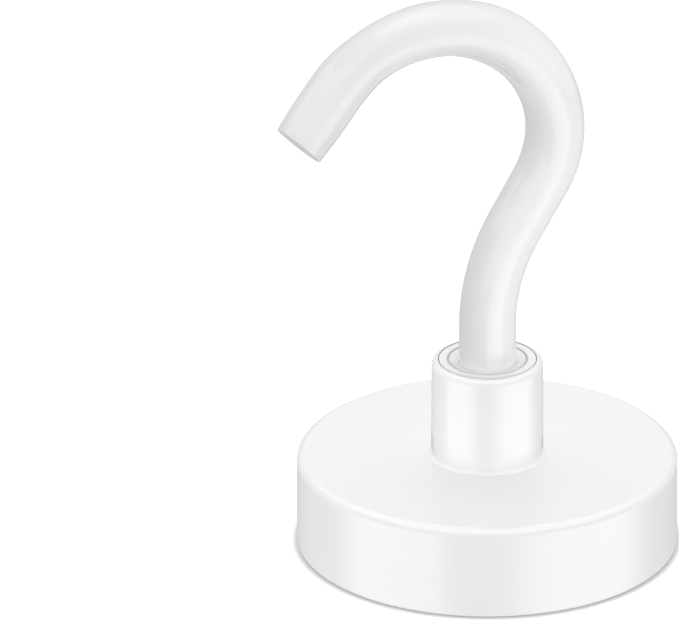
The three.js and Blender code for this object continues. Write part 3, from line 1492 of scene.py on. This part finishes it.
@dataclass
class Studio:
    """A white studio: a pale floor, and soft light from all round that is set apart for pot and hook.

    Attributes:
        view: The camera's place, which the light is set about.
        reach: The distance of the walls, in millimetres.
        spread: How much farther off the next set's walls stand, as a share. Walls that meet lose light.
        wall_steps: The number of steps from their foot to their top.
        strongest: The strength that no belt passes.
        blur: Half the width of the change from belt to belt, in degrees.
        ring_blur: Half the width of that change on the floor, in millimetres.
        floor_drop: How far the floor lies below the pot, in millimetres.
        layer: The gap between the floor and each sheet of bounced light above it, in millimetres.
        shadow_share: How much of the floor's own shading the camera sees.
        contact_reach: How far from the pot's foot the floor is darkened by it, in millimetres.
        contact_samples: How finely that darkening is worked out.
        contact_shades: The floor's level from where it is hidden most to where it lies open.
        glow: The strength of the rest of the floor.
    """

    view: PhotoView
    reach: float = 2000.0
    spread: float = 0.1
    wall_steps: int = 24
    strongest: float = 6.0
    blur: float = 4.0
    ring_blur: float = 8.0
    floor_drop: float = 0.03
    layer: float = 0.01
    shadow_share: float = 0.45
    contact_reach: float = 1.3
    contact_samples: int = 16
    contact_shades: tuple[tuple[float, float], ...] = (
        (0.0, 0.3), (0.4, 0.4), (0.6, 0.56), (0.75, 0.85), (0.87, 1.0))
    glow: float = 1.03

    def build(self, pot_pieces: list[bpy.types.Object], hook_pieces: list[bpy.types.Object]) -> None:
        """Makes the floor, the backdrop and the two sets of light, and sets the view transform.

        The pot is left out of the gloss, so that the collar shows the studio down to its foot.

        Args:
            pot_pieces: The pieces that the pot's light is for.
            hook_pieces: The pieces that the hook's light is for.
        """
        bpy.context.scene.view_settings.view_transform = "Standard"
        self.backdrop()
        pot_pieces[0].visible_glossy = False
        floor = self.floor()
        for i, (light, lit) in enumerate(((POT_LIGHT, [*pot_pieces, floor]), (HOOK_LIGHT, hook_pieces))):
            group = bpy.data.collections.new(f"lit_with_the_{light.name}")
            for piece in lit:
                group.objects.link(piece)
            ball = self.walls(light, self.reach * (1 + self.spread * i))
            for lamp in (ball, self.sheet(light, self.floor_drop - self.layer * (i + 1))):
                lamp.light_linking.receiver_collection = group

    def belts(self, build: TreeBuilder, way: bpy.types.NodeSocket, belts: tuple[Belt, ...],
              edges: list[tuple[float, float]], measure: bpy.types.NodeSocket) -> bpy.types.NodeSocket:
        """Reads the strength of a set of belts in a direction.

        Args:
            build: The tree's builder.
            way: The direction, or the place on the floor.
            belts: The belts, in order.
            edges: Where each change from belt to belt starts and ends, in the measure's unit.
            measure: What tells the belts apart.

        Returns:
            The strength.
        """
        right, _, back = self.view.axes()
        front = Vector((back.x, back.y, 0.0)).normalized()
        towards = build.vector_math("DOT_PRODUCT", way, tuple(front)).outputs["Value"]
        aside = build.vector_math("DOT_PRODUCT", way, tuple(right)).outputs["Value"]
        around = build.ramp(build.math("ARCTAN2", aside, towards), -math.pi, math.pi, 0.0, 1.0)
        strength: object = None
        for i, belt in enumerate(belts):
            shares = [(place, level / self.strongest) for place, level in belt.stops()]
            own = build.math("MULTIPLY", build.greys(around, shares), self.strongest)
            for box in belt.boxes:
                off = build.math("PINGPONG", build.math("SUBTRACT", around, 0.5 + box.aim / 360), 0.5)
                outer, inner = (box.half_width + box.edge) / 360, (box.half_width - box.edge) / 360
                lit = build.ramp(off, inner, outer, 1.0, 0.0, smooth=True)
                own = build.mix(lit, own, box.strength)
            if i == 0:
                strength = own
            else:
                passed = build.ramp(measure, *edges[i - 1], 0.0, 1.0, smooth=True)
                strength = build.mix(passed, strength, own)
        return strength

    @staticmethod
    def backdrop() -> None:
        """Makes the world, which is white to the camera and gives no light."""
        world = bpy.data.worlds.new("white_backdrop")
        bpy.context.scene.world = world
        world.use_nodes = True
        world.cycles.sampling_method = "NONE"
        world.node_tree.nodes.clear()
        build = TreeBuilder(world.node_tree)
        light = build.add("ShaderNodeBackground")
        light.inputs["Color"].default_value = (1.0, 1.0, 1.0, 1.0)
        build.feed(light.inputs["Strength"], build.add("ShaderNodeLightPath").outputs["Is Camera Ray"])
        out = build.add("ShaderNodeOutputWorld")
        build.feed(out.inputs["Surface"], light.outputs["Background"])

    @staticmethod
    def material(mesh: bpy.types.Mesh) -> TreeBuilder:
        """Gives a mesh an empty material of its own name, whose light isn't sampled as a lamp's.

        Args:
            mesh: The mesh.

        Returns:
            The builder of the material.
        """
        made = bpy.data.materials.new(mesh.name)
        made.use_nodes = True
        made.cycles.emission_sampling = "NONE"
        made.node_tree.nodes.clear()
        mesh.materials.append(made)
        return TreeBuilder(made.node_tree)

    def lamp(self, name: str, mesh: bpy.types.Mesh) -> tuple[bpy.types.Object, TreeBuilder, bpy.types.Node]:
        """Makes a soft lamp that the camera doesn't see and that other light passes through.

        Args:
            name: Its name.
            mesh: Its shape.

        Returns:
            The lamp, the builder of its material and the node that gives its light.
        """
        lamp = add_object(name, mesh)
        build = self.material(mesh)
        light = build.add("ShaderNodeEmission")
        both = build.add("ShaderNodeAddShader")
        build.feed(both.inputs[0], light.outputs[0])
        build.feed(both.inputs[1], build.add("ShaderNodeBsdfTransparent").outputs[0])
        out = build.add("ShaderNodeOutputMaterial")
        build.feed(out.inputs["Surface"], both.outputs[0])
        lamp.visible_camera = False
        lamp.visible_shadow = False
        return lamp, build, light

    def walls(self, light: LightSet, reach: float) -> bpy.types.Object:
        """Makes the soft light from all round, as a ball about the object.

        Args:
            light: The set that it belongs to.
            reach: The ball's radius, in millimetres.

        Returns:
            The ball.
        """
        name = f"{light.name}_surround"
        mesh = bpy.data.meshes.new(name)
        shape = bmesh.new()
        steps = self.wall_steps
        bmesh.ops.create_uvsphere(shape, u_segments=2 * steps, v_segments=steps, radius=reach * MM)
        shape.to_mesh(mesh)
        shape.free()
        lamp, build, glow = self.lamp(name, mesh)
        place = build.add("ShaderNodeTexCoord").outputs["Object"]
        way = build.vector_math("NORMALIZE", place).outputs["Vector"]
        height = build.parts(way)["Z"]
        strengths = []
        for belts in (light.plain, light.gloss):
            edges = [(math.sin(math.radians(belt.end - self.blur)),
                      math.sin(math.radians(belt.end + self.blur))) for belt in belts[:-1]]
            strengths.append(self.belts(build, way, belts, edges, height))
        plain, gloss = strengths
        shiny = build.add("ShaderNodeLightPath").outputs["Is Glossy Ray"]
        build.feed(glow.inputs["Strength"], build.mix(shiny, plain, gloss))
        return lamp

    def sheet(self, light: LightSet, drop: float) -> bpy.types.Object:
        """Makes the light that the floor throws back, as a thin sheet over it that only plain light sees.

        Args:
            light: The set that it belongs to.
            drop: How far it lies below the pot, in millimetres.

        Returns:
            The sheet.
        """
        lamp, build, glow = self.lamp(f"{light.name}_bounce", self.square(f"{light.name}_bounce", drop))
        lamp.visible_glossy = False
        lamp.visible_transmission = False
        place = build.add("ShaderNodeTexCoord").outputs["Object"]
        reach = build.vector_math("LENGTH", place).outputs["Value"]
        edges = [((ring.end - self.ring_blur) * MM, (ring.end + self.ring_blur) * MM)
                 for ring in light.bounce[:-1]]
        build.feed(glow.inputs["Strength"], self.belts(build, place, light.bounce, edges, reach))
        return lamp

    def square(self, name: str, drop: float) -> bpy.types.Mesh:
        """Makes a level square below the pot.

        Args:
            name: Its name.
            drop: How far it lies below the pot, in millimetres.

        Returns:
            Its mesh.
        """
        mesh = bpy.data.meshes.new(name)
        half = self.reach * MM
        corners = [(x * half, y * half, -drop * MM) for x, y in ((-1, -1), (1, -1), (1, 1), (-1, 1))]
        mesh.from_pydata(corners, [], [(0, 1, 2, 3)])
        return mesh

    def floor(self) -> bpy.types.Object:
        """Makes the pale floor, which keeps the object's shadow and can be seen through from below.

        Returns:
            The floor.
        """
        mesh = self.square("pale_floor", self.floor_drop)
        floor = add_object("pale_floor", mesh)
        build = self.material(mesh)
        path = build.add("ShaderNodeLightPath").outputs
        side = build.add("ShaderNodeNewGeometry").outputs["Backfacing"]
        seen = build.add("ShaderNodeBsdfDiffuse")
        glow = build.add("ShaderNodeEmission")
        hidden = build.add("ShaderNodeAmbientOcclusion", samples=self.contact_samples)
        hidden.inputs["Distance"].default_value = self.contact_reach * MM
        shade = build.greys(hidden.outputs["AO"], self.contact_shades)
        build.feed(seen.inputs["Color"], shade)
        build.feed(glow.inputs["Strength"], build.math("MULTIPLY", shade, self.glow))
        shown = build.mix(self.shadow_share, glow.outputs[0], seen.outputs[0])
        dark = build.add("ShaderNodeEmission")
        dark.inputs["Strength"].default_value = 0.0
        clear = build.add("ShaderNodeBsdfTransparent")
        body = build.mix(path["Is Camera Ray"], dark.outputs[0], shown)
        body = build.mix(path["Is Glossy Ray"], body, clear.outputs[0])
        body = build.mix(side, body, clear.outputs[0])
        out = build.add("ShaderNodeOutputMaterial")
        build.feed(out.inputs["Surface"], body)
        return floor


def main() -> None:
    """Builds the object, the camera and the studio."""
    logging.basicConfig(level=logging.INFO)
    view = PhotoView()
    view.build()
    pot = Pot()
    pieces = [
        pot.build(),
        Collar().build(seat=pot.height),
        Magnet().build(),
        Resin().build(magnet_radius=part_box("magnet_disc")[1].x / MM),
        WireHook().build(),
    ]
    for piece in pieces:
        LOG.info("%s: %d faces", piece.name, len(piece.data.polygons))
    Studio(view).build(pot_pieces=pieces[:-1], hook_pieces=pieces[-1:])


if __name__ == "__main__":
    main()
